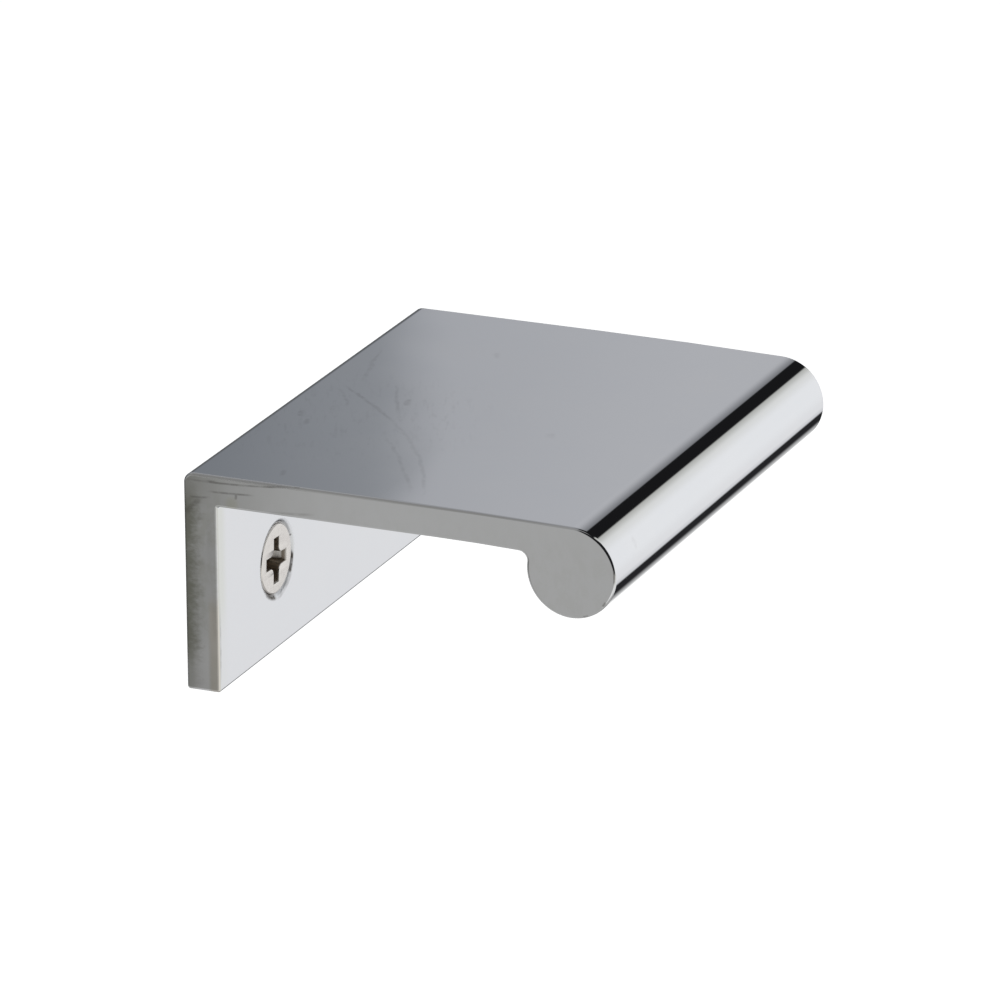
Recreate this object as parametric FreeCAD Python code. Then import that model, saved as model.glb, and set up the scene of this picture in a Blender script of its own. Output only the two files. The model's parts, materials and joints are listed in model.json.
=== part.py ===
import FreeCAD, Part
import math
import os

# Tab pull: a leg, a plate and a round bead in one profile, held by countersunk cross-recess screws.
# All sizes are in millimetres. X runs along the pull and +Z is up.
# The back face lies on Y = 0, the pull stands out towards -Y, and the screws point along +Y.
# The origin is on the back face, midway between the screws.

# Profile of the pull
PULL_LENGTH = 50.0
LEG_HEIGHT = 20.0
LEG_THICKNESS = 3.2
PLATE_THICKNESS = 2.85
REACH = 40.25
BEAD_DIAMETER = 8.2

# The plate bends down a little towards the bead
CROWN_DROP = 0.24
TOP_BEND_LENGTH = 18.0
UNDERSIDE_BEND_LENGTH = 12.5
UNDERSIDE_BEND_RADIUS = 200.0

# Rounded edges
BACK_TOP_RADIUS = 0.95
LEG_TIP_RADIUS = 0.3
INNER_CORNER_RADIUS = 0.35
BEAD_FILLET_RADIUS = 0.8
END_EDGE_RADIUS = 0.25
COUNTERSINK_LIP_RADIUS = 0.75

# Screws and their holes
SCREW_SPACING = 25.6
SCREWS_BELOW_TOP = 11.65
SCREW_TURNS = (3.0, 38.0)
THREAD_DIAMETER = 3.5
THREAD_DEPTH = 0.4
HOLE_CLEARANCE = 0.25
CONE_ANGLE = 82.0
HEAD_DIAMETER = 6.3
HEAD_LAND = 0.2
HEAD_SINK = 0.08
SEAT_CLEARANCE = 0.02
STUD_LENGTH = 3.7
POINT_LENGTH = 2.1
POINT_DIAMETER = 0.3

# Cross recess in each head
RECESS_WIDTH = 4.3
RECESS_DEPTH = 1.7
RECESS_FLANK_ANGLE = 26.5
RECESS_POINT = 0.4
WING_THICKNESS = 1.05
RECESS_CORE_DIAMETER = 2.2

# Room by which a cutter passes the surface that it cuts
PASS = 1.0

X_AXIS = FreeCAD.Vector(1, 0, 0)
Y_AXIS = FreeCAD.Vector(0, 1, 0)
LEFT_END = -PULL_LENGTH / 2
TOP = SCREWS_BELOW_TOP
BEAD_RADIUS = BEAD_DIAMETER / 2
CONE_SLOPE = math.tan(math.radians(CONE_ANGLE / 2))


def section_point(out, below):
    """A point of the profile: its distance out from the back face, and below the plate's flat top."""
    return FreeCAD.Vector(LEFT_END, -out, TOP - below)


def towards(start, end, distance):
    """The point at a distance from start, in the direction of end."""
    return start + (end - start).normalize() * distance


def line(start, end):
    return Part.LineSegment(start, end).toShape()


def arc(start, end, centre):
    """The shorter arc about a centre, from start to end."""
    middle = towards(centre, (start + end) / 2, (start - centre).Length)
    return Part.Arc(start, middle, end).toShape()


def rounded_corner(before, corner, after, radius):
    """The ends of the arc that rounds a square corner, and its centre."""
    start = towards(corner, before, radius)
    end = towards(corner, after, radius)
    return start, end, start + end - corner


def touching_centre(first, first_distance, second, second_distance):
    """The upper one of the two points that lie at the given distances from two centres."""
    span = (second - first).Length
    along = (first_distance ** 2 - second_distance ** 2 + span ** 2) / (2 * span)
    aside = math.sqrt(first_distance ** 2 - along ** 2)
    forward = (second - first).normalize()
    sideways = forward.cross(X_AXIS)
    if sideways.z < 0:
        sideways = -sideways
    return first + forward * along + sideways * aside


def profile():
    """The outline of leg, plate and bead, as one closed face on the left end's plane."""
    bead_centre = section_point(REACH - BEAD_RADIUS, CROWN_DROP + BEAD_RADIUS)
    bead_out = REACH - BEAD_RADIUS

    # The top bends from the flat onto the bead on one large arc, tangent to both
    top_bend_start = bead_out - TOP_BEND_LENGTH
    top_bend_radius = BEAD_RADIUS + (TOP_BEND_LENGTH ** 2 + CROWN_DROP ** 2) / (2 * CROWN_DROP)
    top_bend_centre = section_point(top_bend_start, top_bend_radius)
    top_flat_end = section_point(top_bend_start, 0)
    crown = towards(top_bend_centre, bead_centre, top_bend_radius)

    # The underside bends the same way, and a small fillet joins it to the bead
    under_bend_start = bead_out - UNDERSIDE_BEND_LENGTH
    under_bend_centre = section_point(under_bend_start, PLATE_THICKNESS + UNDERSIDE_BEND_RADIUS)
    under_flat_end = section_point(under_bend_start, PLATE_THICKNESS)
    fillet_centre = touching_centre(
        under_bend_centre, UNDERSIDE_BEND_RADIUS - BEAD_FILLET_RADIUS,
        bead_centre, BEAD_RADIUS + BEAD_FILLET_RADIUS,
    )
    fillet_start = towards(under_bend_centre, fillet_centre, UNDERSIDE_BEND_RADIUS)
    fillet_end = towards(bead_centre, fillet_centre, BEAD_RADIUS)

    back_top = section_point(0, 0)
    back_bottom = section_point(0, LEG_HEIGHT)
    front_bottom = section_point(LEG_THICKNESS, LEG_HEIGHT)
    inner_corner = section_point(LEG_THICKNESS, PLATE_THICKNESS)

    edges = []
    place = top_flat_end
    corners = (
        (top_flat_end, back_top, back_bottom, BACK_TOP_RADIUS),
        (back_top, back_bottom, front_bottom, LEG_TIP_RADIUS),
        (back_bottom, front_bottom, inner_corner, LEG_TIP_RADIUS),
        (front_bottom, inner_corner, under_flat_end, INNER_CORNER_RADIUS),
    )
    for before, corner, after, radius in corners:
        start, end, centre = rounded_corner(before, corner, after, radius)
        edges.append(line(place, start))
        edges.append(arc(start, end, centre))
        place = end
    edges.append(line(place, under_flat_end))
    edges.append(arc(under_flat_end, fillet_start, under_bend_centre))
    edges.append(arc(fillet_start, fillet_end, fillet_centre))
    bead_front = section_point(REACH, CROWN_DROP + BEAD_RADIUS)
    edges.append(Part.Arc(fillet_end, bead_front, crown).toShape())
    edges.append(arc(crown, top_flat_end, top_bend_centre))
    return Part.Face(Part.Wire(edges))


def revolved(points, screw_x):
    """A solid turned about a screw's axis. Each point is a radius and a depth behind the leg's front face."""
    turned = [FreeCAD.Vector(screw_x + radius, depth - LEG_THICKNESS, 0) for radius, depth in points]
    face = Part.Face(Part.makePolygon(turned + turned[:1]))
    return face.revolve(FreeCAD.Vector(screw_x, 0, 0), Y_AXIS, 360)


def screw_places():
    """Each screw's place along X, with the turn of its cross recess."""
    first = -SCREW_SPACING * (len(SCREW_TURNS) - 1) / 2
    return [(first + SCREW_SPACING * index, turn) for index, turn in enumerate(SCREW_TURNS)]


def countersunk_hole(screw_x):
    """The cutter for one hole. Its cone follows the cone under the screw's head, with the seat clearance."""
    hole_radius = THREAD_DIAMETER / 2 + HOLE_CLEARANCE
    seat_room = SEAT_CLEARANCE / math.cos(math.radians(CONE_ANGLE / 2))
    face_radius = HEAD_DIAMETER / 2 + seat_room + (HEAD_SINK + HEAD_LAND) * CONE_SLOPE
    cone_end = (face_radius - hole_radius) / CONE_SLOPE
    back = LEG_THICKNESS + PASS
    points = [
        (0, -PASS),
        (face_radius + PASS * CONE_SLOPE, -PASS),
        (hole_radius, cone_end),
        (hole_radius, back),
        (0, back),
    ]
    return revolved(points, screw_x)


def is_on_end_plane(edge):
    box = edge.BoundBox
    return box.XLength < 1e-6 and abs(abs(box.XMin) - PULL_LENGTH / 2) < 1e-6


def is_countersink_rim(edge):
    """True for the edge where a countersink's cone meets the leg's front face."""
    box = edge.BoundBox
    return box.YLength < 1e-6 and abs(box.YMin + LEG_THICKNESS) < 1e-6 and isinstance(edge.Curve, Part.Circle)


def pull_body():
    """The extruded profile, its end edges rounded, with its countersunk holes."""
    bar = profile().extrude(X_AXIS * PULL_LENGTH)
    end_edges = [edge for edge in bar.Edges if is_on_end_plane(edge)]
    body = bar.makeFillet(END_EDGE_RADIUS, end_edges)
    for screw_x, turn in screw_places():
        body = body.cut(countersunk_hole(screw_x))
    rims = [edge for edge in body.Edges if is_countersink_rim(edge)]
    return body.makeFillet(COUNTERSINK_LIP_RADIUS, rims)


def recess_wing(screw_x):
    """One blade of the cross: it narrows with depth and ends in a blunt point."""
    slope = math.tan(math.radians(RECESS_FLANK_ANGLE))
    half_width = RECESS_WIDTH / 2
    mouth = HEAD_SINK - PASS
    floor = HEAD_SINK + RECESS_DEPTH
    outline = [
        (half_width + PASS * slope, mouth),
        (half_width - RECESS_DEPTH * slope, floor),
        (0, floor + RECESS_POINT),
        (-half_width + RECESS_DEPTH * slope, floor),
        (-half_width - PASS * slope, mouth),
    ]
    corners = [
        FreeCAD.Vector(screw_x + across, depth - LEG_THICKNESS, -WING_THICKNESS / 2)
        for across, depth in outline
    ]
    face = Part.Face(Part.makePolygon(corners + corners[:1]))
    return face.extrude(FreeCAD.Vector(0, 0, WING_THICKNESS))


def cross_recess(screw_x, turn):
    """The cutter for one cross recess: two crossed blades and a tapered core between them."""
    core_radius = RECESS_CORE_DIAMETER / 2
    core_points = [
        (0, HEAD_SINK - PASS),
        (core_radius, HEAD_SINK - PASS),
        (core_radius, HEAD_SINK),
        (WING_THICKNESS / 2, HEAD_SINK + RECESS_DEPTH),
        (0, HEAD_SINK + RECESS_DEPTH),
    ]
    cross = revolved(core_points, screw_x)
    centre = FreeCAD.Vector(screw_x, 0, 0)
    for blade_turn in (turn, turn + 90):
        blade = recess_wing(screw_x)
        blade.rotate(centre, Y_AXIS, blade_turn)
        cross = cross.fuse(blade)
    return cross


def screw(screw_x, turn):
    """One screw: countersunk head, core inside the leg, and the thread's outside behind the back face."""
    head_radius = HEAD_DIAMETER / 2
    thread_radius = THREAD_DIAMETER / 2
    core_radius = thread_radius - THREAD_DEPTH
    cone_start = HEAD_SINK + HEAD_LAND
    cone_end = cone_start + (head_radius - core_radius) / CONE_SLOPE
    tip = LEG_THICKNESS + STUD_LENGTH
    points = [
        (0, HEAD_SINK),
        (head_radius, HEAD_SINK),
        (head_radius, cone_start),
        (core_radius, cone_end),
        (core_radius, LEG_THICKNESS),
        (thread_radius, LEG_THICKNESS),
        (thread_radius, tip - POINT_LENGTH),
        (POINT_DIAMETER / 2, tip),
        (0, tip),
    ]
    return revolved(points, screw_x).cut(cross_recess(screw_x, turn))


def save(shape, node):
    shape.exportStep(os.path.join("parts", node + ".step"))


os.makedirs("parts", exist_ok=True)
save(pull_body(), "pull_body")
save(Part.makeCompound([screw(screw_x, turn) for screw_x, turn in screw_places()]), "mounting_screws")
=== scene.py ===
import json
import math
import bmesh
import bpy
from mathutils import Matrix, Vector
from mathutils.geometry import tessellate_polygon


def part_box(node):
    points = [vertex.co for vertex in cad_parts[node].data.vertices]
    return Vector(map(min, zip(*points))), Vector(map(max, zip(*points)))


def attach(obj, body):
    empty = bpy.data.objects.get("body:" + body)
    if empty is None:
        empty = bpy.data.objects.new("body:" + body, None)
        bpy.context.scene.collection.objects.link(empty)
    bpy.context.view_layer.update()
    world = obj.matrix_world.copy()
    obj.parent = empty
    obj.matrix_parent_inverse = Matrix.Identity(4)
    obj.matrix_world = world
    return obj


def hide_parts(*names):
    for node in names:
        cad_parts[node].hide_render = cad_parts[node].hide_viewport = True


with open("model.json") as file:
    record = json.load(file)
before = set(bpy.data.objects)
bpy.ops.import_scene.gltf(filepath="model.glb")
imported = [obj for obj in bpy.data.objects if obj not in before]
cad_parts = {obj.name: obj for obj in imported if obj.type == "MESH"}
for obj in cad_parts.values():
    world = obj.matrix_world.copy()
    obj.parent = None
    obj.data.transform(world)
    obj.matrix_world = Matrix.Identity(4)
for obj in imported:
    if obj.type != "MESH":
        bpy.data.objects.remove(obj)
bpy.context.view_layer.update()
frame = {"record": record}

# A polished chrome tab pull on two countersunk screws. All lengths are in metres.
# X runs along the pull, the pull stands out towards -Y, and +Z is up.
MM = 0.001
X_AXIS = Vector((1, 0, 0))

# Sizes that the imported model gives
BODY_LOW, BODY_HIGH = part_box("pull_body")
HALF_LENGTH = BODY_HIGH.x
REACH = -BODY_LOW.y
TOP = BODY_HIGH.z
FOOT = BODY_LOW.z
SCREW_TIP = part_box("mounting_screws")[1].y
SCREW_MOUNT = next(mount for mount in frame["record"]["mounts"] if mount["name"] == "screws")
SCREW_SPACING = SCREW_MOUNT["dims"]["spacing_x_mm"] * MM
THREAD_RADIUS = SCREW_MOUNT["dims"]["stud_r_mm"] * MM

# Profile of the pull
LEG_THICKNESS = 3.2 * MM
PLATE_THICKNESS = 2.85 * MM
BEAD_RADIUS = 4.1 * MM
CROWN_DROP = 0.24 * MM
TOP_BEND_LENGTH = 18 * MM
UNDERSIDE_BEND_LENGTH = 12.5 * MM
UNDERSIDE_BEND_RADIUS = 200 * MM
BACK_TOP_RADIUS = 0.95 * MM
LEG_TIP_RADIUS = 0.3 * MM
INNER_CORNER_RADIUS = 0.12 * MM
BEAD_FILLET_RADIUS = 0.8 * MM
END_EDGE_RADIUS = 0.25 * MM

# Countersunk holes
CONE_HALF_ANGLE = 41.0
CONE_MOUTH_RADIUS = 3.42 * MM
LIP_RADIUS = 0.62 * MM
BORE_RADIUS = 2.0 * MM
BORE_EDGE_RADIUS = 0.08 * MM

# Screws
SCREW_TURNS = (3.0, 38.0)
HEAD_SINK = 0.08 * MM
HEAD_RADIUS = 3.15 * MM
HEAD_LAND = 0.2 * MM
HEAD_EDGE_RADIUS = 0.14 * MM
HEAD_LAND_RADIUS = HEAD_EDGE_RADIUS / 3
CORE_RADIUS = 1.35 * MM
NECK_RADIUS = 0.2 * MM
THREAD_PITCH = 1.25 * MM
THREAD_HALF_FOOT = 0.3  # as a share of the pitch
THREAD_RUN_OUT = 0.625  # as a share of the point's length
POINT_LENGTH = 2.1 * MM
POINT_RADIUS = 0.1 * MM

# Cross recess
RECESS_HALF_WIDTH = 2.1 * MM
RECESS_DROP = 0.12 * MM
RECESS_DEPTH = 1.7 * MM
RECESS_FLANK_ANGLE = 26.5
RECESS_POINT = 0.35 * MM
WING_HALF_THICKNESS = 0.55 * MM
WING_DRAFT_ANGLE = 4.0
RECESS_CORNER_RADIUS = 0.62 * MM
RECESS_EDGE_RADIUS = 0.06 * MM
RECESS_EDGE_BEND = (0.25, 0.3)  # the edge's middle, as shares of its radius down and aside

# Camera, in the photograph's frame of 1000 pixels a side
CAMERA_AZIMUTH = -66.99
CAMERA_ELEVATION = 19.412
CAMERA_ROLL = -0.243
CAMERA_DISTANCE = 662.12 * MM
AIM_RIGHT = 17.583 * MM
AIM_UP = -10.133 * MM
FOCAL_LENGTH_PX = 7431.9
PHOTO_SIZE_PX = 1000
SENSOR_WIDTH_MM = 36
NEAREST_SEEN = 10 * MM
FARTHEST_SEEN = 10.0

# Mesh fineness, with steps and angles in degrees
ARC_STEP = 3.0
CORNER_STEP = 6.0
END_EDGE_PARTS = 6
TURN_PARTS = 96
THREAD_ROWS_A_TURN = 14
RECESS_CORNER_PARTS = 6
SHARP_ANGLE = 17
FLAT_NORMAL = 0.999  # a wall is flat from this part of its normal along Y

# Wear, and one painted shadow, in millimetres. Each mark is an arc through three points, then half its width
# and its strength.
# On the top the points are (along X, out from the back face)
TOP_SCRATCHES = (
    ((1.9, 3.1), (-2.1, 7.5), (-6.3, 11.8), 0.19, 0.19),
    ((-5.9, 11.4), (-13.0, 16.8), (-23.8, 21.9), 0.19, 0.1),
    ((-9.5, 12.2), (-16.0, 16.6), (-22.8, 20.5), 0.18, 0.13),
    ((3.2, 7.7), (-0.2, 9.3), (-4.2, 11.2), 0.18, 0.15),
    ((12.2, 2.2), (7.8, 3.25), (2.8, 4.6), 0.18, 0.12),
    ((0.8, 3.2), (-1.4, 4.75), (-3.9, 6.1), 0.18, 0.12),
    ((-1.6, 10.95), (-0.6, 10.5), (0.4, 10.2), 0.28, 0.22),
    ((-4.9, 25.95), (-4.1, 25.6), (-3.3, 25.4), 0.35, 0.055),
    ((13.6, 13.1), (14.5, 12.63), (15.4, 12.35), 0.26, 0.065),
    ((-9.6, 4.7), (-8.75, 4.32), (-7.9, 4.05), 0.24, 0.15),
    ((-7.7, 3.35), (-6.8, 2.93), (-5.9, 2.65), 0.24, 0.21),
    ((-22.8, 8.5), (-22.0, 8.12), (-21.1, 7.85), 0.24, 0.12),
)
# On the left end the points are (out from the back face, up from the top)
END_SCRATCHES = (
    ((0.5, -0.6), (5.0, -0.55), (10.9, 0.02), 0.09, 0.45),
    ((1.8, -0.62), (2.5, -0.58), (3.2, -0.57), 0.13, 0.45),
    ((2.1, -1.5), (4.4, -1.42), (6.2, -1.33), 0.09, 0.38),
    ((4.95, -1.3), (5.0, -1.6), (4.9, -1.95), 0.12, 0.42),
    ((0.4, -2.16), (1.5, -2.13), (2.5, -2.0), 0.1, 0.35),
    ((0.2, -3.8), (0.85, -2.95), (1.6, -2.3), 0.24, 0.42),
    ((10.4, -0.06), (10.75, -0.02), (11.1, 0.0), 0.09, 0.6),
    ((8.6, -2.62), (10.2, -2.5), (12.5, -2.3), 0.12, 0.12),
    ((2.45, -3.4), (2.38, -5.7), (2.5, -8.0), 0.25, 0.06),
    ((2.85, -11.0), (2.75, -13.2), (2.85, -15.5), 0.25, 0.07),
    ((40.02, -3.4), (40.1, -4.15), (40.06, -4.95), 0.07, 0.6),
    ((37.2, -8.12), (37.5, -8.05), (37.75, -7.93), 0.1, 0.5),
    ((39.0, -6.95), (39.2, -6.75), (39.3, -6.5), 0.1, 0.45),
)
# On the faces that look forwards the points are (along X from the left screw, up from the screws).
# The first mark is painted shadow in the gap between the left screw's head and its countersink.
LEG_MARKS_AND_GAP_SHADOW = (
    ((3.3, -0.25), (3.12, -1.3), (2.6, -2.3), 0.15, 1.0),
    ((2.75, -2.25), (1.6, -3.17), (-0.4, -3.53), 0.25, 0.3),
    ((-0.35, -3.45), (-1.4, -3.08), (-2.5, -2.4), 0.25, 0.95),
    ((3.1, 1.15), (3.07, 1.25), (3.0, 1.35), 0.15, 0.5),
    ((-11.98, 2.6), (-11.93, -2.4), (-11.98, -7.6), 0.11, 0.45),
)
BEAD_SCRATCHES = (
    ((-7.25, 9.5), (-7.1, 8.9), (-7.2, 8.3), 0.3, 0.07),
)

# How a mark fades: aside in halves of its width, and along it in shares of its reach from its middle
MARK_ASIDE = (0.2, 1.6)
MARK_ALONG = (0.5, 1.08)

# Colours, as linear red, green, blue and alpha
WHITE = (1, 1, 1, 1)
CHROME_COOL = (0.765, 0.777, 0.795, 1)
CHROME_PLAIN = (0.80, 0.803, 0.805, 1)
# Dark colour of the scratches and grime, also used for the painted shadow beside the left screw's head
GRIME_AND_GAP_SHADOW = (0.10, 0.085, 0.07, 1)
END_PLAIN = (0.80, 0.805, 0.805, 1)
END_PATCH = (0.735, 0.74, 0.715, 1)
END_CORNER = (0.6, 0.6, 0.56, 1)
END_FOOT = (0.92, 0.92, 0.93, 1)
END_STAIN = (0.68, 0.68, 0.54, 1)
END_BROWN = (0.79, 0.745, 0.665, 1)
END_DARK_OLIVE = (0.41, 0.415, 0.36, 1)
LEG_EDGE = (0.735, 0.745, 0.705, 1)
TOP_EDGE = (0.56, 0.56, 0.54, 1)
NICKEL_GREY = (0.76, 0.74, 0.69, 1)
NICKEL_WARM = (0.86, 0.81, 0.77, 1)
# Painted shade and dirt inside the recess
RECESS_SHADE_AND_DIRT = (0.36, 0.31, 0.25, 1)
# Painted highlight on a facet of the recess
RECESS_PAINTED_HIGHLIGHT = (0.97, 0.94, 0.89, 1)

# Noises, each as (scale per millimetre, detail, roughness)
HAZE = (0.12, 5.0, 0.62)
STREAKS = (1.1, 6.0, 0.68)
CLOUDS = (0.8, 5.0, 0.6)
STROKES = (1.5, 4.0, 0.5)
WOBBLE = (0.6, 3.0, 0.5)
BLOTCHES = (1.1, 3.0, 0.5)
RIPPLE = (0.08, 1.0, 0.5)
MOTTLE = (1.6, 4.0, 0.5)
GRAIN = (9.0, 3.0, 0.5)
STREAKS_STRETCH = (1, 0.7, 1.5)
CLOUDS_STRETCH = (1, 1, 0.7)
STROKES_STRETCH = (0.3, 1.5, 1)
STROKES_TURN = (0, 0, -23)

# Steps, each as (start, end, share before, share after). The names tell what is measured, in millimetres:
# IN from the left end, OUT from the back face, UP from the top, DEPTH behind a screw's face.

# Faces of the pull
END_FACE_IN = (0.08, 0.2, 1.0, 0.0)
TOP_FACE_UP = (-0.6, -0.4, 0.0, 1.0)
LEG_FRONT_FROM_OUT = (1.2, 1.5, 0.0, 1.0)
LEG_FRONT_TO_OUT = (3.3, 3.5, 1.0, 0.0)
BEAD_OUT = (38.0, 38.5, 0.0, 1.0)

# Tones and wear of the left end
PATCH_CLOUDS = (0.4, 0.62, 0.0, 1.0)
PATCH_UP = (-3.5, -1.0, 1.0, 0.35)
PATCH_OUT = (3.2, 4.5, 1.0, 0.35)
CORNER_OUT = (1.5, 5.0, 0.24, 0.0)
CORNER_UP = (-3.6, -2.4, 0.0, 1.0)
FOOT_UP = (-17.5, -13.5, 1.0, 0.0)
FOOT_FROM_OUT = (0.4, 1.0, 0.0, 1.0)
FOOT_TO_OUT = (2.0, 2.5, 1.0, 0.0)
STAIN_PLACE = (4.6, -2.35)
STAIN_AWAY = (0.2, 0.9, 0.42, 0.0)
BROWN_UP = (-13.0, -10.5, 0.75, 0.0)
BROWN_OUT = (2.0, 2.5, 0.0, 1.0)
DARK_OLIVE_OUT = (0.2, 1.9, 1.0, 0.0)
DARK_OLIVE_WAVER = 2.8
DARK_OLIVE_MIDDLE_UP = -9.6
DARK_OLIVE_FROM_MIDDLE = (6.1, 8.8, 1.0, 0.28)

# Wear of the top, of the edges and of the countersinks
SCUFF_PLACE = (-6, 7)
SCUFF_AWAY = (5.0, 17.0, 1.0, 0.0)
SCUFF_STROKES = (0.52, 0.7, 0.0, 0.07)
SCRATCH_WAVER = 0.9
MARK_BLOTCHES = (0.32, 0.62, 0.5, 1.25)
LEG_EDGE_IN = (0.6, 2.0, 1.0, 0.0)
LEG_EDGE_OUT = (3.1, 3.18, 0.0, 1.0)
LEG_EDGE_BELOW_UP = (-3.2, -2.9, 1.0, 0.0)
LEG_EDGE_FADE_UP = (-16.0, -11.0, 0.25, 1.0)
TOP_EDGE_IN = (0.15, 0.35, 1.0, 0.0)
TOP_EDGE_UP = (-0.32, -0.22, 0.0, 1.0)
TOP_EDGE_SHARE = 0.5
CHROME_ROUGHNESS = (0.3, 0.75, 0.03, 0.055)
RING_ROUGHNESS = (3.6, 3.8, 0.24, 0.0)
TOP_EDGE_ROUGHNESS_OUT = (8.0, 13.0, 0.25, 0.06)
MARK_ROUGHNESS = 0.2
RIPPLE_BUMP = (0.1, 0.2 * MM)

# Finish of the screws, with their recess, painted dark as shade and dirt, and the painted highlight on a
# facet in it
RECESS_WALL = (RECESS_HALF_WIDTH / MM + 0.1, RECESS_HALF_WIDTH / MM + 0.3, 1.0, 0.0)
RECESS_FROM_DEPTH = (0.04, 0.22, 0.0, 1.0)
RECESS_TO_DEPTH = (2.1, 2.3, 1.0, 0.0)
FACET_ASIDE = (0.2, 0.5, 0.0, 1.0)
FACET_LEVEL = (0.45, 0.6, 1.0, 0.0)
FACET_FROM_DEPTH = (0.35, 0.5, 0.0, 1.0)
FACET_TO_DEPTH = (1.2, 1.4, 1.0, 0.0)
NICKEL_ROUGHNESS = (0.3, 0.7, 0.22, 0.34)
RECESS_ROUGHNESS = 0.15
GRAIN_BUMP = (0.15, 0.02 * MM)

# Studio, as the chrome reflects it. Angles are in degrees.
# Bands run along X: each has the turn about X, from straight up towards the front, at which it begins,
# half the width of its soft beginning, and its colour.
BANDS = (
    ("wall_behind", -75, 15, (0.505, 0.512, 0.54, 1)),
    ("wall_shade", -20, 17, (0.2, 0.205, 0.22, 1)),
    ("dark_strip_above", -8.2, 2, (0.0105, 0.0105, 0.0115, 1)),
    ("ceiling", 23.8, 2.5, (0.54, 0.545, 0.52, 1)),
    ("bright_ceiling", 34, 10, (0.83, 0.835, 0.825, 1)),
    ("white_front", 53, 15, (0.95, 0.96, 0.98, 1)),
    ("front_floor", 118, 20, (0.872, 0.875, 0.893, 1)),
    ("front_floor_shade", 141, 5, (0.74, 0.745, 0.77, 1)),
    ("dark_strip_below", 150.7, 3.5, (0.021, 0.021, 0.023, 1)),
    ("floor_behind", 182, 10, (0.46, 0.46, 0.465, 1)),
)

# Panels hang over the bands: each has its middle's azimuth from +X and its elevation, its half width and
# half height, the softness of its sides and of its top and bottom, and its colour.
PANELS = (
    ("behind_fade", 72, 18, 49.5, 14, 2.6, 5, (0.425, 0.435, 0.465, 1)),
    ("behind_edge", 72, 18, 48.25, 14, 0.37, 5, (0.303, 0.316, 0.34, 1)),
    ("behind_dark", 72, 18, 47.25, 14, 1.25, 5, (0.203, 0.218, 0.24, 1)),
    ("behind_low", 68, -5, 50, 17, 4, 4, (0.12, 0.125, 0.13, 1)),
    ("below", 0, -90, 180, 47, 1, 6, (0.45, 0.45, 0.45, 1)),
    ("left_low", 185, -35, 32, 27, 4, 6, (0.43, 0.43, 0.43, 1)),
    ("left_far_low", 138, -20, 16.8, 6, 1.0, 3, (0.2, 0.2, 0.19, 1)),
    ("left_front", 255, -27, 48, 15, 8, 3, (0.8, 0.8, 0.79, 1)),
    ("left_white", 222, -40, 38, 9, 10, 4, (0.85, 0.85, 0.86, 1)),
    ("left_high", 148, 34, 28, 30, 5, 8, (0.33, 0.33, 0.33, 1)),
    ("left_dark", 150, 64, 50, 13, 10, 6, (0.3, 0.3, 0.305, 1)),
    ("camera_side", 215, 20, 49, 33, 5, 4, (0.015, 0.015, 0.017, 1)),
    ("right_low", 21, -24, 10.2, 10, 4, 3, (0.95, 0.95, 0.95, 1)),
)

# Floor and lamp
FLOOR_DEPTH = 90 * MM
FLOOR_SIZE = 6.0
FLOOR_COLOUR = (0.93, 0.93, 0.93, 1)
FLOOR_ROUGHNESS = 0.9
FLOOR_GLOW = 0.7
LAMP_SIZE = 0.5
LAMP_POWER = 1.5
LAMP_PLACE = (-0.15, -0.25, 0.6)


def camera():
    """The photograph's viewpoint: a long lens a little to the left of the pull's end and above it."""
    turn, tilt = math.radians(CAMERA_AZIMUTH), math.radians(CAMERA_ELEVATION)
    back = Vector((
        math.sin(turn) * math.cos(tilt),
        -math.cos(turn) * math.cos(tilt),
        math.sin(tilt),
    ))
    level_right = (-back).cross(Vector((0, 0, 1))).normalized()
    level_up = level_right.cross(-back)
    roll = math.radians(CAMERA_ROLL)
    right = level_right * math.cos(roll) + level_up * math.sin(roll)
    up = level_up * math.cos(roll) - level_right * math.sin(roll)
    aim = Vector((0, 0, TOP)) + right * AIM_RIGHT + up * AIM_UP
    lens = bpy.data.cameras.new("camera")
    lens.sensor_width = SENSOR_WIDTH_MM
    lens.lens = FOCAL_LENGTH_PX / PHOTO_SIZE_PX * SENSOR_WIDTH_MM
    lens.clip_start = NEAREST_SEEN
    lens.clip_end = FARTHEST_SEEN
    seen = bpy.data.objects.new("camera", lens)
    axes = Matrix((right, up, back)).transposed().to_4x4()
    seen.matrix_world = Matrix.Translation(aim + back * CAMERA_DISTANCE) @ axes
    bpy.context.scene.collection.objects.link(seen)
    bpy.context.scene.camera = seen


# Runs: lists of points in a plane, each with its outward normal, as (point, normal)

def direction(degrees):
    return Vector((math.cos(math.radians(degrees)), math.sin(math.radians(degrees))))


def arc_run(centre, radius, start, end, hollow=False):
    """An arc from one angle to another. The normals of a hollow arc point to its centre."""
    parts = max(2, math.ceil(abs(end - start) / ARC_STEP))
    run = []
    for index in range(parts + 1):
        spoke = direction(start + (end - start) * index / parts)
        run.append((centre + spoke * radius, -spoke if hollow else spoke))
    return run


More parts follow.
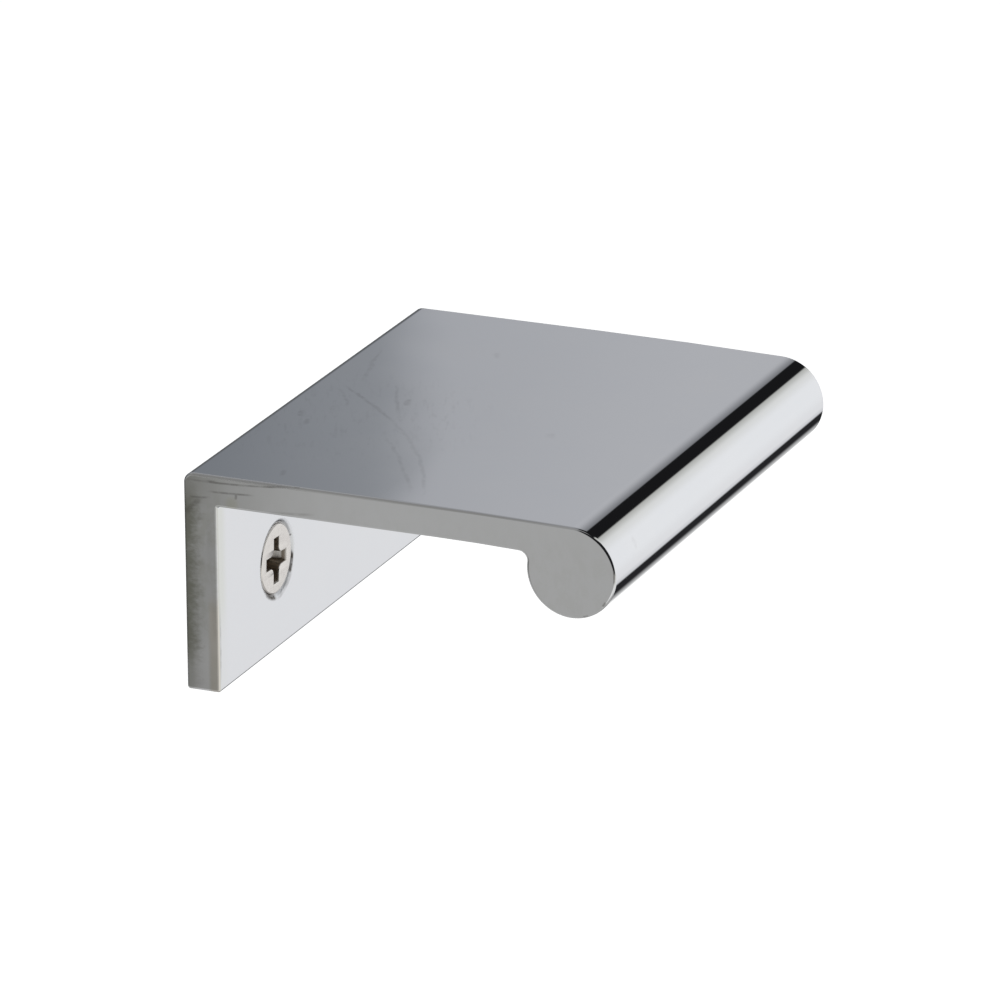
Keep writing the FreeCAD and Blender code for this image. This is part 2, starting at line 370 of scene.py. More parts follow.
def rounded_run(corners):
    """A chain of straight lines whose corners, given as (across, along, radius), are rounded.
    The outward normal lies to the left of the way along the chain."""
    places = [Vector(corner[:2]) for corner in corners]
    run = []
    for index in range(1, len(corners) - 1):
        here, radius = places[index], corners[index][2]
        before = (here - places[index - 1]).normalized()
        after = (places[index + 1] - here).normalized()
        turn = math.atan2(before.cross(after), before.dot(after))
        reach = radius * math.tan(abs(turn) / 2)
        first = here - before * reach
        normal = Vector((-before.y, before.x))
        if not run:
            run.append((places[0], normal))
        parts = max(2, math.ceil(math.degrees(abs(turn)) / CORNER_STEP))
        centre = first + normal * math.copysign(radius, turn)
        for part in range(parts + 1):
            part_turn = turn * part / parts
            turned = Vector((
                normal.x * math.cos(part_turn) - normal.y * math.sin(part_turn),
                normal.x * math.sin(part_turn) + normal.y * math.cos(part_turn),
            ))
            run.append((centre - turned * math.copysign(radius, turn), turned))
    run.append((places[-1], run[-1][1]))
    return run


def circle_meeting(first, first_distance, second, second_distance):
    """The upper point at the given distances from two centres."""
    span = second - first
    along = (first_distance ** 2 - second_distance ** 2 + span.length_squared) / (2 * span.length)
    aside = math.sqrt(first_distance ** 2 - along ** 2)
    forward = span.normalized()
    sideways = Vector((-forward.y, forward.x))
    if sideways.y < 0:
        sideways = -sideways
    return first + forward * along + sideways * aside


def angle_of(vector):
    return math.degrees(math.atan2(vector.y, vector.x))


def pull_profile():
    """The pull's outline in the plane of (distance out from the back face, height), as one closed run.
    It starts at the front end of the flat top, and runs over the back and the leg to the bead."""
    underside = TOP - PLATE_THICKNESS
    bead_centre = Vector((REACH - BEAD_RADIUS, TOP - CROWN_DROP - BEAD_RADIUS))
    bend_start = bead_centre.x - TOP_BEND_LENGTH
    bend_radius = BEAD_RADIUS + (TOP_BEND_LENGTH ** 2 + CROWN_DROP ** 2) / (2 * CROWN_DROP)
    bend_centre = Vector((bend_start, TOP - bend_radius))
    crown_angle = angle_of(bead_centre - bend_centre)
    under_centre = Vector((bead_centre.x - UNDERSIDE_BEND_LENGTH, underside - UNDERSIDE_BEND_RADIUS))
    fillet_centre = circle_meeting(
        under_centre, UNDERSIDE_BEND_RADIUS - BEAD_FILLET_RADIUS,
        bead_centre, BEAD_RADIUS + BEAD_FILLET_RADIUS,
    )
    fillet_start = angle_of(fillet_centre - under_centre)
    fillet_end = angle_of(bead_centre - fillet_centre)
    corners = (
        (BACK_TOP_RADIUS, TOP - BACK_TOP_RADIUS, BACK_TOP_RADIUS, 90, 180),
        (LEG_TIP_RADIUS, FOOT + LEG_TIP_RADIUS, LEG_TIP_RADIUS, 180, 270),
        (LEG_THICKNESS - LEG_TIP_RADIUS, FOOT + LEG_TIP_RADIUS, LEG_TIP_RADIUS, 270, 360),
    )
    run = []
    for out, height, radius, start, end in corners:
        run += arc_run(Vector((out, height)), radius, start, end)
    inner_centre = Vector((LEG_THICKNESS + INNER_CORNER_RADIUS, underside - INNER_CORNER_RADIUS))
    run += arc_run(inner_centre, INNER_CORNER_RADIUS, 180, 90, hollow=True)
    run += arc_run(under_centre, UNDERSIDE_BEND_RADIUS, 90, fillet_start, hollow=True)
    run += arc_run(fillet_centre, BEAD_FILLET_RADIUS, fillet_start, fillet_end, hollow=True)[1:]
    run += arc_run(bead_centre, BEAD_RADIUS, fillet_end + 180, crown_angle + 360)[1:]
    run += arc_run(bend_centre, bend_radius, crown_angle, 90)[1:]
    return run


class MeshBuilder:
    """Gathers vertices with their normals, and faces, for one closed mesh."""

    def __init__(self):
        self.places, self.normals, self.faces = [], [], []

    def vertex(self, place, normal):
        self.places.append(place)
        self.normals.append(normal)
        return len(self.places) - 1

    def strip(self, first, second):
        """Quads between two closed rows of vertices of the same count."""
        for index in range(len(first)):
            after = (index + 1) % len(first)
            self.faces.append((first[index], first[after], second[after], second[index]))

    def fan(self, row, point):
        """Triangles from a closed row of vertices to one point."""
        for index in range(len(row)):
            self.faces.append((row[index], row[(index + 1) % len(row)], point))

    def flat_face(self, outline, holes, normal):
        """Triangles that fill a flat outline with holes in it."""
        loops = [outline] + holes
        corners = [index for loop in loops for index in loop]
        triangles = tessellate_polygon([[self.places[index] for index in loop] for loop in loops])
        for triangle in triangles:
            a, b, c = (corners[index] for index in triangle)
            facing = (self.places[b] - self.places[a]).cross(self.places[c] - self.places[a])
            self.faces.append((a, b, c) if facing.dot(normal) > 0 else (a, c, b))

    def mesh(self, name, keep_normals=True):
        made = bpy.data.meshes.new(name)
        made.from_pydata(self.places, [], self.faces)
        made.shade_smooth()
        if keep_normals:
            made.normals_split_custom_set_from_vertices(self.normals)
        return made


def piece(name, mesh, material):
    made = bpy.data.objects.new(name, mesh)
    made.data.materials.append(material)
    bpy.context.scene.collection.objects.link(made)
    return made


def hole_run():
    """A hole's wall as (radius, depth behind the leg's front face): rounded lip, cone and bore."""
    slope = math.tan(math.radians(CONE_HALF_ANGLE))
    lip_reach = LIP_RADIUS * math.tan(math.radians(90 - CONE_HALF_ANGLE) / 2)
    cone_depth = (CONE_MOUTH_RADIUS - BORE_RADIUS) / slope
    return rounded_run([
        (CONE_MOUTH_RADIUS + lip_reach, 0, 0),
        (CONE_MOUTH_RADIUS, 0, LIP_RADIUS),
        (BORE_RADIUS, cone_depth, BORE_EDGE_RADIUS),
        (BORE_RADIUS, LEG_THICKNESS, BORE_EDGE_RADIUS),
        (BORE_RADIUS + BORE_EDGE_RADIUS, LEG_THICKNESS, 0),
    ])[1:-1]


def screw_places():
    first = -SCREW_SPACING * (len(SCREW_TURNS) - 1) / 2
    return [first + SCREW_SPACING * index for index in range(len(SCREW_TURNS))]


def turned_rows(builder, run, centre_x, front):
    """Rows of vertices that turn a run of (radius, depth) about a screw's axis."""
    rows = []
    for (radius, depth), (across, along) in run:
        row = []
        for index in range(TURN_PARTS):
            spoke = direction(360 * index / TURN_PARTS)
            place = Vector((centre_x + spoke.x * radius, front + depth, spoke.y * radius))
            row.append(builder.vertex(place, Vector((spoke.x * across, along, spoke.y * across))))
        rows.append(row)
    return rows


def pull_mesh():
    """The swept profile with rounded end edges, its leg pierced by the countersunk holes."""
    builder = MeshBuilder()
    run = pull_profile()
    ends = {}
    for side in (-1, 1):
        rows = []
        for part in range(END_EDGE_PARTS + 1):
            turn = math.radians(90 * part / END_EDGE_PARTS)
            endwards, outwards = math.sin(turn), math.cos(turn)
            inset = END_EDGE_RADIUS * (1 - outwards)
            x = side * (HALF_LENGTH - END_EDGE_RADIUS * (1 - endwards))
            row = []
            for place, normal in run:
                point = place - normal * inset
                facing = Vector((side * endwards, -normal.x * outwards, normal.y * outwards))
                row.append(builder.vertex(Vector((x, -point.x, point.y)), facing))
            rows.append(row)
        for near, far in zip(rows, rows[1:]):
            builder.strip(*((near, far) if side < 0 else (far, near)))
        builder.flat_face(rows[-1], [], X_AXIS * side)
        ends[side] = rows[0]

    # The walls between the ends, apart from the leg's two flats, which the holes pierce
    left, right = ends[-1], ends[1]
    flats = {}
    for index, (place, normal) in enumerate(run):
        after = (index + 1) % len(run)
        flat = abs(normal.x) > FLAT_NORMAL and (run[after][0] - place).length > LEG_THICKNESS
        if flat and place.x < REACH / 2:
            flats[round(normal.x)] = [left[index], right[index], right[after], left[after]]
        else:
            builder.faces.append((left[index], right[index], right[after], left[after]))
    mouths, backs = [], []
    for centre_x in screw_places():
        rows = turned_rows(builder, hole_run(), centre_x, -LEG_THICKNESS)
        for near, far in zip(rows, rows[1:]):
            builder.strip(near, far)
        mouths.append(rows[0])
        backs.append(rows[-1])
    builder.flat_face(flats[1], mouths, Vector((0, -1, 0)))
    builder.flat_face(flats[-1], backs, Vector((0, 1, 0)))
    return builder.mesh("pull")


def cross_outline(half_width, half_thickness, corner_radius):
    """A cross with rounded inner corners, as points of a plane, counted the same at any size."""
    corner = half_thickness + corner_radius
    points = []
    for quarter in range(4):
        turn = Matrix.Rotation(math.radians(90 * quarter), 2)
        local = [Vector((half_width, -half_thickness)), Vector((half_width, half_thickness))]
        for part in range(RECESS_CORNER_PARTS + 1):
            spoke = direction(270 - 90 * part / RECESS_CORNER_PARTS)
            local.append(Vector((corner, corner)) + spoke * corner_radius)
        points += [turn @ point for point in local]
    return points


def recess_rows(builder, front):
    """The cross recess as rows of vertices, from its worn mouth down to its floor."""
    flank = math.tan(math.radians(RECESS_FLANK_ANGLE))
    draft = math.tan(math.radians(WING_DRAFT_ANGLE))
    down, aside = RECESS_EDGE_BEND
    steps = (
        (0, RECESS_EDGE_RADIUS),
        (down * RECESS_EDGE_RADIUS, aside * RECESS_EDGE_RADIUS),
        (RECESS_EDGE_RADIUS, 0),
        (RECESS_DEPTH / 2, 0),
        (RECESS_DEPTH, 0),
    )
    rows = []
    for depth, spread in steps:
        outline = cross_outline(
            RECESS_HALF_WIDTH - depth * flank + spread,
            WING_HALF_THICKNESS - depth * draft + spread,
            RECESS_CORNER_RADIUS,
        )
        rows.append([
            builder.vertex(Vector((point.x, front + depth, point.y - RECESS_DROP)), Vector((0, -1, 0)))
            for point in outline
        ])
    return rows


def thread_height(along, turn):
    """The share of the thread's height at a distance along the screw and a turn about it."""
    phase = (along / THREAD_PITCH - turn / math.tau) % 1
    return max(0.0, 1 - abs(phase - 0.5) / THREAD_HALF_FOOT)


def shank_rows(builder, start):
    """Rows of vertices from the head's neck to the screw's point, with the thread cut into them."""
    length = SCREW_TIP - start
    row_count = round(length / THREAD_PITCH * THREAD_ROWS_A_TURN)
    rows = []
    for step in range(1, row_count + 1):
        along = length * step / row_count
        to_tip = min(1.0, (length - along) / POINT_LENGTH)
        run_in = min(1.0, along / THREAD_PITCH)
        run_out = min(1.0, to_tip / THREAD_RUN_OUT)
        core = POINT_RADIUS + (CORE_RADIUS - POINT_RADIUS) * to_tip
        row = []
        for index in range(TURN_PARTS):
            turn = math.tau * index / TURN_PARTS
            height = thread_height(along, turn) * run_in * run_out
            radius = core + (THREAD_RADIUS - CORE_RADIUS) * height
            place = Vector((radius * math.cos(turn), start + along, radius * math.sin(turn)))
            row.append(builder.vertex(place, Vector((0, 1, 0))))
        rows.append(row)
    return rows


def screw_mesh():
    """One screw about the Y axis. Its head's face lies just behind the leg's front, and its point stands out
    behind the back face."""
    builder = MeshBuilder()
    front = HEAD_SINK - LEG_THICKNESS
    neck = HEAD_LAND + (HEAD_RADIUS - CORE_RADIUS) / math.tan(math.radians(CONE_HALF_ANGLE))
    head = rounded_run([
        (0, 0, 0),
        (HEAD_RADIUS, 0, HEAD_EDGE_RADIUS),
        (HEAD_RADIUS, HEAD_LAND, HEAD_LAND_RADIUS),
        (CORE_RADIUS, neck, NECK_RADIUS),
        (CORE_RADIUS, neck + NECK_RADIUS, 0),
    ])[1:]
    rows = turned_rows(builder, [(point, -normal) for point, normal in head], 0, front)
    rows += shank_rows(builder, front + neck + NECK_RADIUS)
    recess = recess_rows(builder, front)
    for wall in (rows, recess):
        for near, far in zip(wall, wall[1:]):
            builder.strip(near, far)
    tip = Vector((0, SCREW_TIP, 0))
    floor = Vector((0, front + RECESS_DEPTH + RECESS_POINT, -RECESS_DROP))
    builder.fan(rows[-1], builder.vertex(tip, Vector((0, 1, 0))))
    builder.fan(recess[-1], builder.vertex(floor, Vector((0, -1, 0))))
    builder.flat_face(rows[0], [recess[0]], Vector((0, -1, 0)))
    made = builder.mesh("screw", keep_normals=False)
    tidy = bmesh.new()
    tidy.from_mesh(made)
    bmesh.ops.recalc_face_normals(tidy, faces=tidy.faces)
    tidy.to_mesh(made)
    tidy.free()
    made.set_sharp_from_angle(angle=math.radians(SHARP_ANGLE))
    return made


def add_node(tree, kind, **settings):
    made = tree.nodes.new(kind)
    for name, value in settings.items():
        setattr(made, name, value)
    return made


def connect(tree, value, socket):
    """Links a socket to another one, or sets it to a plain value."""
    if isinstance(value, bpy.types.NodeSocket):
        tree.links.new(value, socket)
    else:
        socket.default_value = value


def calculate(tree, operation, *values):
    made = add_node(tree, "ShaderNodeMath", operation=operation)
    for value, socket in zip(values, made.inputs):
        connect(tree, value, socket)
    return made.outputs[0]


def eased(tree, value, low, high, from_value=0.0, to_value=1.0):
    """A smooth step: from_value below low, and to_value above high."""
    made = add_node(tree, "ShaderNodeMapRange", interpolation_type="SMOOTHSTEP")
    for number, socket in zip((value, low, high, from_value, to_value), made.inputs):
        connect(tree, number, socket)
    return made.outputs[0]


def blend_colours(tree, share, first, second):
    made = add_node(tree, "ShaderNodeMix", data_type="RGBA")
    connect(tree, share, made.inputs[0])
    connect(tree, first, made.inputs[6])
    connect(tree, second, made.inputs[7])
    return made.outputs[2]


def zone(tree, *steps):
    """The product of smooth steps, each given as a value and its (start, end, share before, share after)."""
    shares = [eased(tree, value, *step) for value, step in steps]
    product = shares[0]
    for share in shares[1:]:
        product = calculate(tree, "MULTIPLY", product, share)
    return product


def noise(tree, place, scale, detail, roughness):
    made = add_node(tree, "ShaderNodeTexNoise")
    connect(tree, place, made.inputs["Vector"])
    made.inputs["Scale"].default_value = scale
    made.inputs["Detail"].default_value = detail
    made.inputs["Roughness"].default_value = roughness
    return made.outputs["Fac"]


def wavered(tree, length, waver, reach):
    """A length that a noise moves to either side, over a reach."""
    return calculate(tree, "MULTIPLY_ADD", waver, reach, calculate(tree, "SUBTRACT", length, reach / 2))


def mapped(tree, place, scale=(1, 1, 1), turn=(0, 0, 0)):
    made = add_node(tree, "ShaderNodeMapping")
    connect(tree, place, made.inputs["Vector"])
    made.inputs["Rotation"].default_value = [math.radians(angle) for angle in turn]
    made.inputs["Scale"].default_value = scale
    return made.outputs["Vector"]


def distance_to(tree, place, point):
    made = add_node(tree, "ShaderNodeVectorMath", operation="DISTANCE")
    connect(tree, place, made.inputs[0])
    made.inputs[1].default_value = (*point, 0)
    return made.outputs["Value"]


def coordinates(tree, place):
    """The three coordinates of a place."""
    made = add_node(tree, "ShaderNodeSeparateXYZ")
    connect(tree, place, made.inputs[0])
    return made.outputs


def flat_place(tree, across, up):
    """A point of a plane, made of two lengths."""
    made = add_node(tree, "ShaderNodeCombineXYZ")
    connect(tree, across, made.inputs["X"])
    connect(tree, up, made.inputs["Y"])
    return made.outputs[0]


def arc_through(begin, middle, end):
    """The centre and the radius of the circle through three points."""
    first, last = Vector(begin) - Vector(middle), Vector(end) - Vector(middle)
    twice_area = 2 * first.cross(last)
    centre = Vector((
        last.y * first.length_squared - first.y * last.length_squared,
        first.x * last.length_squared - last.x * first.length_squared,
    )) / twice_area
    return Vector(middle) + centre, centre.length


def marks(tree, place, table):
    """How dark the strongest of a table's marks is at a point of their plane."""
    core, skirt = MARK_ASIDE
    hold, fade = MARK_ALONG
    strongest = 0.0
    for begin, middle, end, half_width, strength in table:
        centre, radius = arc_through(begin, middle, end)
        reach = max((Vector(middle) - Vector(tip)).length for tip in (begin, end))
        aside = calculate(tree, "SUBTRACT", distance_to(tree, place, centre), radius)
        mark = zone(
            tree,
            (calculate(tree, "ABSOLUTE", aside), (core * half_width, skirt * half_width, strength, 0.0)),
            (distance_to(tree, place, middle), (hold * reach, fade * reach, 1.0, 0.0)),
        )
        strongest = calculate(tree, "MAXIMUM", strongest, mark)
    return strongest


def new_material(name):
    """A material with its shader, and its object coordinates in millimetres."""
    made = bpy.data.materials.new(name)
    made.use_nodes = True
    tree = made.node_tree
    shader = tree.nodes["Principled BSDF"]
    metres = add_node(tree, "ShaderNodeTexCoord").outputs["Object"]
    return made, tree, shader, mapped(tree, metres, scale=(1 / MM, 1 / MM, 1 / MM))


def set_bump(tree, shader, height, strength, distance):
    made = add_node(tree, "ShaderNodeBump")
    made.inputs["Strength"].default_value = strength
    made.inputs["Distance"].default_value = distance
    connect(tree, height, made.inputs["Height"])
    tree.links.new(made.outputs["Normal"], shader.inputs["Normal"])


def chrome_lengths(tree, place):
    """A point's lengths along X, out from the back face, up from the screws and up from the top."""
    along, behind, height = coordinates(tree, place)
    out = calculate(tree, "MULTIPLY", behind, -1.0)
    return along, out, height, calculate(tree, "SUBTRACT", height, TOP / MM)


def from_nearest_screw(tree, along):
    """How far a point lies along X from the axis of the screw that is nearest to it."""
    wrapped = calculate(tree, "WRAP", along, SCREW_SPACING / MM, 0.0)
    return calculate(tree, "SUBTRACT", wrapped, SCREW_SPACING / 2 / MM)


def end_face_tone(tree, place, out, up):
    """The left end's colour: darker and olive towards the back, with streaks, and paler at the foot."""
    streaks = noise(tree, mapped(tree, place, scale=STREAKS_STRETCH), *STREAKS)
    clouds = noise(tree, mapped(tree, place, scale=CLOUDS_STRETCH), *CLOUDS)
    from_stain = distance_to(tree, flat_place(tree, out, up), STAIN_PLACE)
    from_middle = calculate(tree, "ABSOLUTE", calculate(tree, "SUBTRACT", up, DARK_OLIVE_MIDDLE_UP))
    wavy_out = wavered(tree, out, streaks, DARK_OLIVE_WAVER)
    layers = (
        (END_PATCH, (clouds, PATCH_CLOUDS), (up, PATCH_UP), (out, PATCH_OUT)),
        (END_CORNER, (out, CORNER_OUT), (up, CORNER_UP)),
        (END_FOOT, (up, FOOT_UP), (out, FOOT_FROM_OUT), (out, FOOT_TO_OUT)),
        (END_STAIN, (from_stain, STAIN_AWAY)),
        (END_BROWN, (up, BROWN_UP), (out, BROWN_OUT)),
        # Darker and olive near the back face, most of all on the leg's part of the end, in streaks
        (END_DARK_OLIVE, (wavy_out, DARK_OLIVE_OUT), (from_middle, DARK_OLIVE_FROM_MIDDLE)),
    )
    tone = END_PLAIN
    for colour, *steps in layers:
        tone = blend_colours(tree, zone(tree, *steps), tone, colour)
    return tone


def scuffs(tree, place, along, out):
    """How dark the faint rubbed strokes are that slant over the back left part of the top."""
    turned = mapped(tree, place, turn=STROKES_TURN)
    strokes = noise(tree, mapped(tree, turned, scale=STROKES_STRETCH), *STROKES)
    from_middle = distance_to(tree, flat_place(tree, along, out), SCUFF_PLACE)
    return zone(tree, (strokes, SCUFF_STROKES), (from_middle, SCUFF_AWAY))


def chrome_marks_and_gap_shadow(tree, place, on_end, on_leg):
    """How dark the scratches, scuffs and grime, and the painted shadow beside the left screw's head, are at
    a point of the chrome.
    """
    along, out, height, up = chrome_lengths(tree, place)
    on_top = eased(tree, up, *TOP_FACE_UP)
    on_bead = eased(tree, out, *BEAD_OUT)
    wavy_out = wavered(tree, out, noise(tree, place, *WOBBLE), SCRATCH_WAVER)
    forwards = flat_place(tree, calculate(tree, "ADD", along, SCREW_SPACING / 2 / MM), height)
    groups = (
        (on_top, marks(tree, flat_place(tree, along, wavy_out), TOP_SCRATCHES)),
        (on_top, scuffs(tree, place, along, out)),
        (on_end, marks(tree, flat_place(tree, out, up), END_SCRATCHES)),
        # The leg's marks include painted shadow in the gap between the left screw's head and its countersink
        (on_leg, marks(tree, forwards, LEG_MARKS_AND_GAP_SHADOW)),
        (on_bead, marks(tree, forwards, BEAD_SCRATCHES)),
    )
    marked_or_shaded = 0.0
    for where, strength in groups:
        marked_or_shaded = calculate(tree, "MAXIMUM", marked_or_shaded, calculate(tree, "MULTIPLY", where, strength))
    return calculate(tree, "MULTIPLY", marked_or_shaded, eased(tree, noise(tree, place, *BLOTCHES), *MARK_BLOTCHES))


def polished_chrome():
    """Bright chrome with a faint haze. Its wear stands where the photograph shows it."""
    made, tree, shader, place = new_material("polished_chrome")
    shader.inputs["Metallic"].default_value = 1.0
    along, out, height, up = chrome_lengths(tree, place)
    inwards = calculate(tree, "ADD", along, HALF_LENGTH / MM)
    on_end = eased(tree, inwards, *END_FACE_IN)
    on_leg = zone(tree, (out, LEG_FRONT_FROM_OUT), (out, LEG_FRONT_TO_OUT))
    on_leg_edge = calculate(tree, "MULTIPLY", on_leg, zone(
        tree,
        (inwards, LEG_EDGE_IN), (out, LEG_EDGE_OUT),
        (up, LEG_EDGE_BELOW_UP), (up, LEG_EDGE_FADE_UP),
    ))
    on_top_edge = zone(tree, (inwards, TOP_EDGE_IN), (up, TOP_EDGE_UP))
    marked_or_shaded = chrome_marks_and_gap_shadow(tree, place, on_end, on_leg)

    # The leg's front is warmer beside the left end, and the edge between left end and top is duller
    haze = noise(tree, place, *HAZE)
    tint = blend_colours(tree, haze, CHROME_COOL, CHROME_PLAIN)
    layers = (
        (on_end, end_face_tone(tree, place, out, up)),
        # Scratches and grime, and the painted gap shadow beside the left screw's head, darken the colour
        (marked_or_shaded, GRIME_AND_GAP_SHADOW),
        (on_leg_edge, LEG_EDGE),
        (calculate(tree, "MULTIPLY", on_top_edge, TOP_EDGE_SHARE), TOP_EDGE),
    )
    for share, colour in layers:
        tint = blend_colours(tree, share, tint, colour)
    connect(tree, tint, shader.inputs["Base Color"])

    # The countersinks and the edge are rougher, and so are the marks
    from_axis = distance_to(tree, flat_place(tree, from_nearest_screw(tree, along), height), (0, 0))
    in_ring = calculate(tree, "MULTIPLY", on_leg, eased(tree, from_axis, *RING_ROUGHNESS))
    worn_edge = calculate(tree, "MULTIPLY", on_top_edge, eased(tree, out, *TOP_EDGE_ROUGHNESS_OUT))
    roughness = eased(tree, haze, *CHROME_ROUGHNESS)
    for rougher in (in_ring, worn_edge, calculate(tree, "MULTIPLY", marked_or_shaded, MARK_ROUGHNESS)):
        roughness = calculate(tree, "ADD", roughness, rougher)
    connect(tree, roughness, shader.inputs["Roughness"])
    set_bump(tree, shader, noise(tree, place, *RIPPLE), *RIPPLE_BUMP)
    return made


def nickel_plated_steel():
    """Warm mottled nickel with a fine grain. Inside the recess the colour is a dark brown of painted shade
    and dirt, apart from a painted highlight on a facet towards the right wing."""
    made, tree, shader, place = new_material("nickel_plated_steel")
    shader.inputs["Metallic"].default_value = 1.0
    along, behind, height = coordinates(tree, place)
    depth = calculate(tree, "ADD", behind, (LEG_THICKNESS - HEAD_SINK) / MM)
    aside = from_nearest_screw(tree, along)
    level = calculate(tree, "ABSOLUTE", height)

    # A point of the recess's wall lies nearer to the axis the deeper it is, by the flanks' slope
    from_axis = distance_to(tree, flat_place(tree, aside, height), (0, 0))
    at_mouth = calculate(tree, "MULTIPLY_ADD", depth, math.tan(math.radians(RECESS_FLANK_ANGLE)), from_axis)
    within = zone(tree, (depth, RECESS_FROM_DEPTH), (at_mouth, RECESS_WALL), (depth, RECESS_TO_DEPTH))
    facet = zone(
        tree,
        (aside, FACET_ASIDE), (level, FACET_LEVEL),
        (depth, FACET_FROM_DEPTH), (depth, FACET_TO_DEPTH),
    )
    mottle = noise(tree, place, *MOTTLE)
    face = blend_colours(tree, mottle, NICKEL_GREY, NICKEL_WARM)
    # The recess is painted dark as shade and dirt, and its facet pale as a painted highlight
    inner = blend_colours(tree, facet, RECESS_SHADE_AND_DIRT, RECESS_PAINTED_HIGHLIGHT)
    connect(tree, blend_colours(tree, within, face, inner), shader.inputs["Base Color"])
    roughness = eased(tree, mottle, *NICKEL_ROUGHNESS)
    roughness = calculate(tree, "MULTIPLY_ADD", within, RECESS_ROUGHNESS, roughness)
    connect(tree, roughness, shader.inputs["Roughness"])
    set_bump(tree, shader, noise(tree, place, *GRAIN), *GRAIN_BUMP)
    return made


def screw_row_tree():
    """Node tree that sets copies of a screw in a row, each turned about its own axis."""
    tree = bpy.data.node_groups.new("screw_row", "GeometryNodeTree")
    inputs = {}
    sockets = (
        ("Screw", "NodeSocketGeometry"),
        ("Count", "NodeSocketInt"),
        ("Spacing", "NodeSocketFloat"),
        ("First turn", "NodeSocketFloat"),
        ("Turn between", "NodeSocketFloat"),
        ("Finish", "NodeSocketMaterial"),
    )
    for name, kind in sockets:
        inputs[name] = tree.interface.new_socket(name, in_out="INPUT", socket_type=kind).identifier
    tree.interface.new_socket("Screws", in_out="OUTPUT", socket_type="NodeSocketGeometry")
    entry = add_node(tree, "NodeGroupInput").outputs
    spacing, count = entry["Spacing"], entry["Count"]
    gaps = calculate(tree, "SUBTRACT", count, 1.0)
    half_row = calculate(tree, "MULTIPLY", calculate(tree, "MULTIPLY", spacing, gaps), -0.5)
    start = add_node(tree, "ShaderNodeCombineXYZ")
    connect(tree, half_row, start.inputs["X"])
    step = add_node(tree, "ShaderNodeCombineXYZ")
    connect(tree, spacing, step.inputs["X"])
    row = add_node(tree, "GeometryNodeMeshLine", mode="OFFSET")
    connect(tree, count, row.inputs["Count"])
    tree.links.new(start.outputs[0], row.inputs["Start Location"])
    tree.links.new(step.outputs[0], row.inputs["Offset"])
    number = add_node(tree, "GeometryNodeInputIndex").outputs[0]
    turn = calculate(tree, "MULTIPLY_ADD", number, entry["Turn between"], entry["First turn"])
    rotation = add_node(tree, "ShaderNodeCombineXYZ")
    connect(tree, turn, rotation.inputs["Y"])
    copies = add_node(tree, "GeometryNodeInstanceOnPoints")
    tree.links.new(row.outputs["Mesh"], copies.inputs["Points"])
    tree.links.new(entry["Screw"], copies.inputs["Instance"])
    tree.links.new(rotation.outputs[0], copies.inputs["Rotation"])
    real = add_node(tree, "GeometryNodeRealizeInstances")
    tree.links.new(copies.outputs[0], real.inputs[0])
    coated = add_node(tree, "GeometryNodeSetMaterial")
    tree.links.new(real.outputs[0], coated.inputs["Geometry"])
    tree.links.new(entry["Finish"], coated.inputs["Material"])
    tree.links.new(coated.outputs[0], add_node(tree, "NodeGroupOutput").inputs[0])
    return tree, inputs


def screws(material):
    """Both screws as one plain mesh, set in a row through the holes."""
    pattern = piece("screw_pattern", screw_mesh(), material)
    tree, sockets = screw_row_tree()
    row = pattern.modifiers.new("screw_row", "NODES")
    row.node_group = tree
    row[sockets["Count"]] = len(SCREW_TURNS)
    row[sockets["Spacing"]] = SCREW_SPACING
    row[sockets["First turn"]] = math.radians(SCREW_TURNS[0])
    row[sockets["Turn between"]] = math.radians(SCREW_TURNS[1] - SCREW_TURNS[0])
    row[sockets["Finish"]] = material
    seen = pattern.evaluated_get(bpy.context.evaluated_depsgraph_get())
    plain = bpy.data.meshes.new_from_object(seen)
    plain.name = "screws"
    pattern.modifiers.remove(row)
    bpy.data.objects.remove(pattern)
    made = bpy.data.objects.new("screws", plain)
    bpy.context.scene.collection.objects.link(made)
    return made


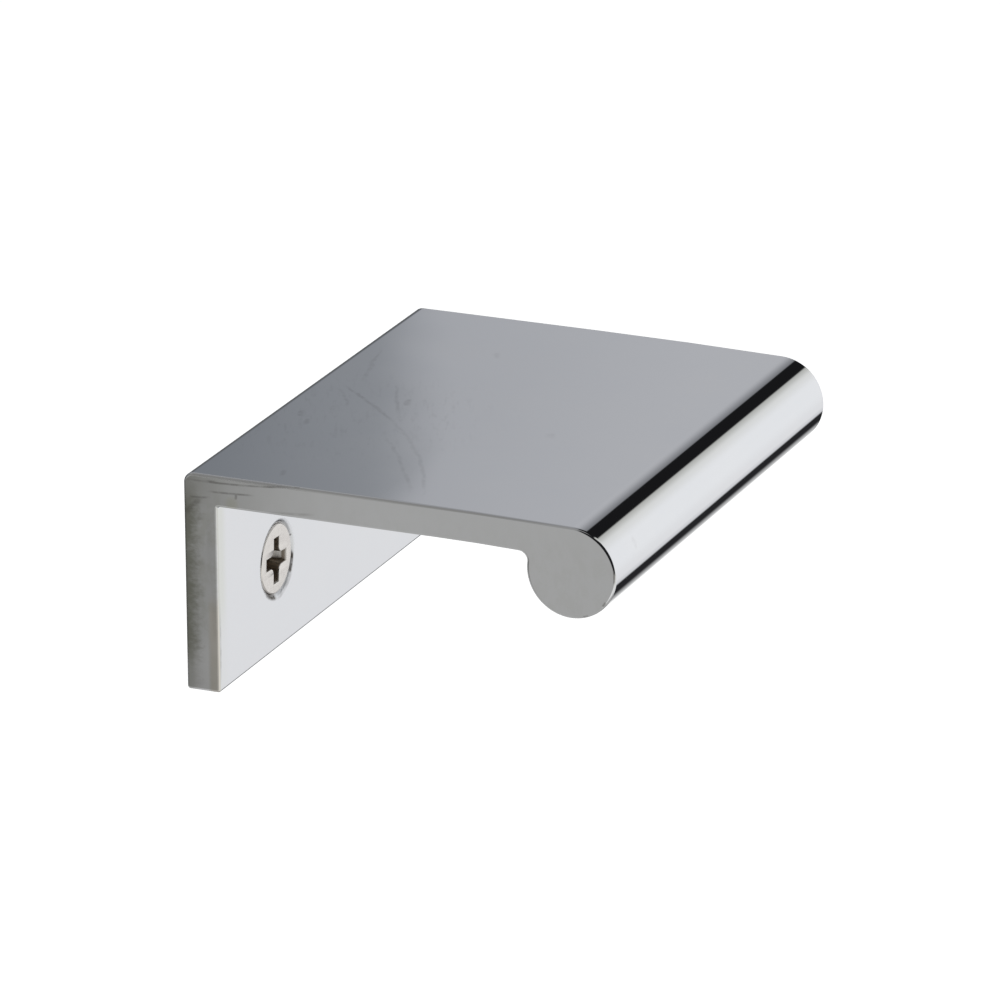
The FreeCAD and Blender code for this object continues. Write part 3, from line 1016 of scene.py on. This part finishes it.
def surroundings():
    """A white studio with grey and dark parts for the chrome to reflect. The camera sees plain white."""
    world = bpy.data.worlds.new("studio")
    bpy.context.scene.world = world
    world.use_nodes = True
    tree = world.node_tree
    x, y, z = coordinates(tree, add_node(tree, "ShaderNodeTexCoord").outputs["Generated"])
    forwards = calculate(tree, "MULTIPLY", y, -1.0)
    about_x = calculate(tree, "DEGREES", calculate(tree, "ARCTAN2", forwards, z))
    about_x = calculate(tree, "WRAP", about_x, 270.0, -90.0)
    azimuth = calculate(tree, "DEGREES", calculate(tree, "ARCTAN2", y, x))
    elevation = calculate(tree, "DEGREES", calculate(tree, "ARCSINE", z))
    colour = BANDS[-1][-1]
    for _, begin, soft, shade in BANDS:
        colour = blend_colours(tree, eased(tree, about_x, begin - soft, begin + soft), colour, shade)
    for _, middle, height, half_width, half_height, side_soft, level_soft, shade in PANELS:
        away = calculate(tree, "SUBTRACT", azimuth, middle)
        aside = calculate(tree, "ABSOLUTE", calculate(tree, "WRAP", away, 180.0, -180.0))
        above = calculate(tree, "ABSOLUTE", calculate(tree, "SUBTRACT", elevation, height))
        covered = zone(
            tree,
            (aside, (half_width - side_soft, half_width + side_soft, 1.0, 0.0)),
            (above, (half_height - level_soft, half_height + level_soft, 1.0, 0.0)),
        )
        colour = blend_colours(tree, covered, colour, shade)
    to_camera = add_node(tree, "ShaderNodeLightPath").outputs["Is Camera Ray"]
    connect(tree, blend_colours(tree, to_camera, colour, WHITE), tree.nodes["Background"].inputs["Color"])


def floor():
    """A pale floor well below the pull. It is white to the camera apart from the pull's soft shadow."""
    made = bpy.data.materials.new("floor")
    made.use_nodes = True
    tree = made.node_tree
    shader = tree.nodes["Principled BSDF"]
    shader.inputs["Base Color"].default_value = FLOOR_COLOUR
    shader.inputs["Roughness"].default_value = FLOOR_ROUGHNESS
    shader.inputs["Emission Color"].default_value = WHITE
    shader.inputs["Emission Strength"].default_value = FLOOR_GLOW
    half = FLOOR_SIZE / 2
    corners = [(-half, -half), (half, -half), (half, half), (-half, half)]
    mesh = bpy.data.meshes.new("floor")
    mesh.from_pydata([(x, y, FOOT - FLOOR_DEPTH) for x, y in corners], [], [(0, 1, 2, 3)])
    ground = piece("floor", mesh, made)
    ground.visible_glossy = False


def soft_lamp():
    """One broad soft lamp overhead, turned towards the pull."""
    lamp = bpy.data.lights.new("soft_lamp", "AREA")
    lamp.size = LAMP_SIZE
    lamp.energy = LAMP_POWER
    made = bpy.data.objects.new("soft_lamp", lamp)
    made.location = LAMP_PLACE
    made.rotation_euler = (-made.location).to_track_quat("-Z", "Y").to_euler()
    made.visible_glossy = False
    bpy.context.scene.collection.objects.link(made)


camera()
pull = piece("pull", pull_mesh(), polished_chrome())
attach(pull, "root")
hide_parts("pull_body")
screw_pair = screws(nickel_plated_steel())
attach(screw_pair, "root")
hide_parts("mounting_screws")
surroundings()
floor()
soft_lamp()
bpy.context.scene.view_settings.view_transform = "Standard"
